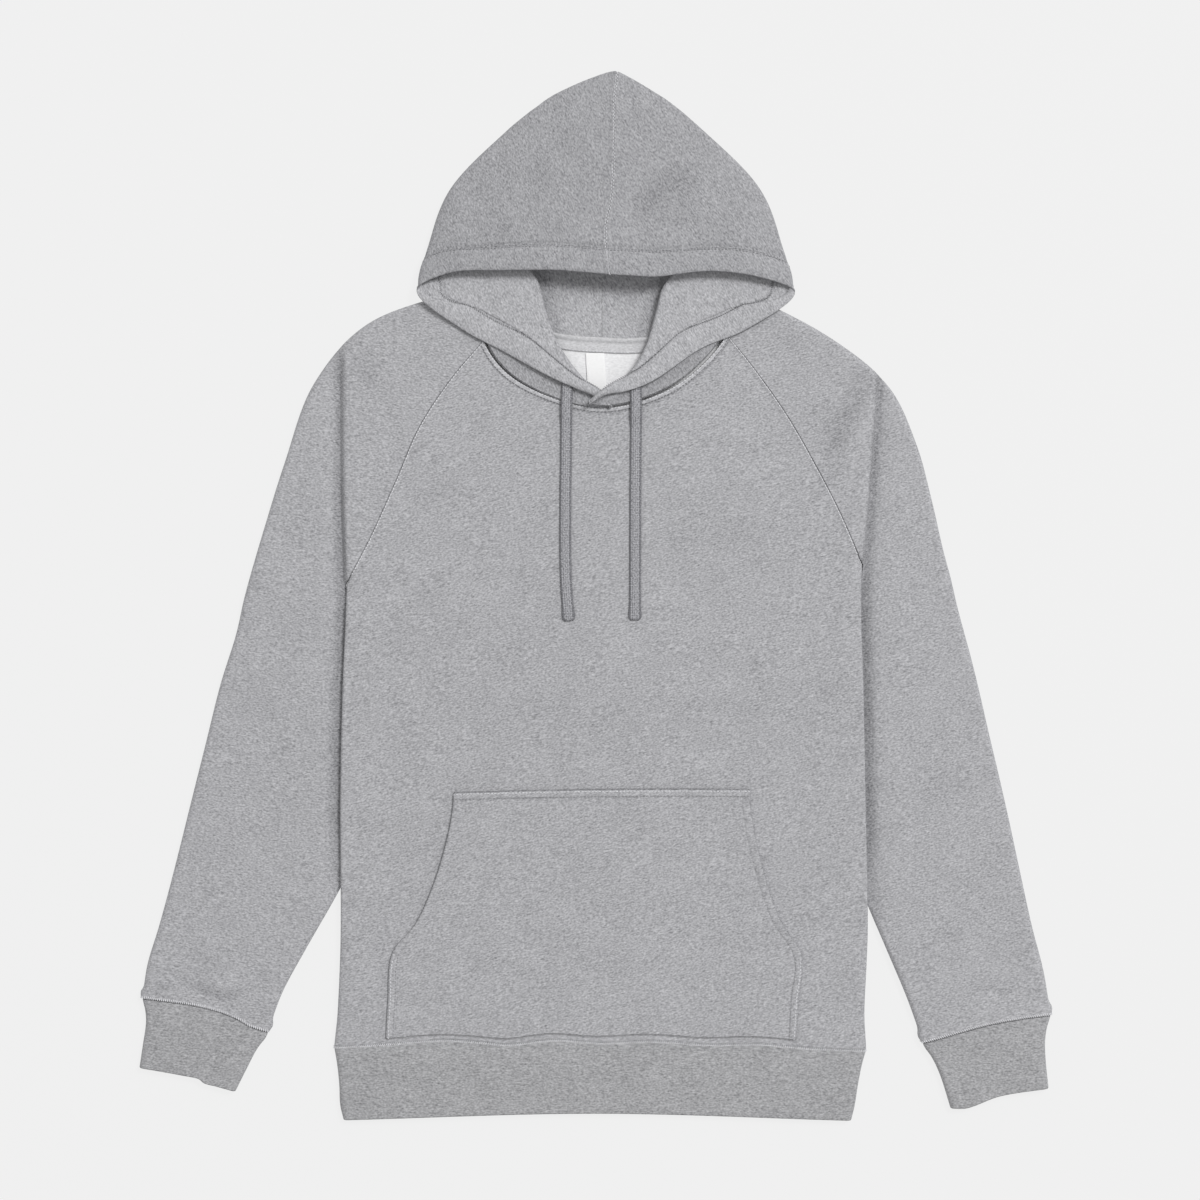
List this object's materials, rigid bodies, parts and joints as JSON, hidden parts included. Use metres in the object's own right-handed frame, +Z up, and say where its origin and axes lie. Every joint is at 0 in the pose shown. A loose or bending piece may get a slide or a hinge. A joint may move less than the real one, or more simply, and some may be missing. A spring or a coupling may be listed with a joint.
{
  "type": "pullover hoodie",
  "caption": "Grey marl raglan pullover hoodie laid flat, with a spread hood, flat drawcords, a kangaroo pocket, and ribbed cuffs and hem.",
  "frame": {"origin": "on the surface that the garment lies on, under the middle of its outline", "axes": "+X to the right of the one who looks down on the front, +Y from the hem to the hood, +Z up out of the front of the garment"},
  "size_m": [0.8664, 0.9969, 0.03],
  "materials": {
    "marl": "matte grey marl knit with a brushed white inside",
    "rib": "matte grey marl rib knit",
    "tape": "matte light grey marl tape",
    "label": "matte white woven satin",
    "cord": "matte grey woven flat cord"
  },
  "bodies": {
    "root": {"back_panel": "marl", "front_panel": "marl", "sleeve_left": "marl", "sleeve_right": "marl", "cuff_left": "rib", "cuff_right": "rib", "hem_band": "rib", "pocket": "marl", "hood_left": "marl", "hood_right": "marl", "neck_tape": "tape", "neck_label": "label", "drawcord_left": "cord", "drawcord_right": "cord"}
  },
  "joints": []
}
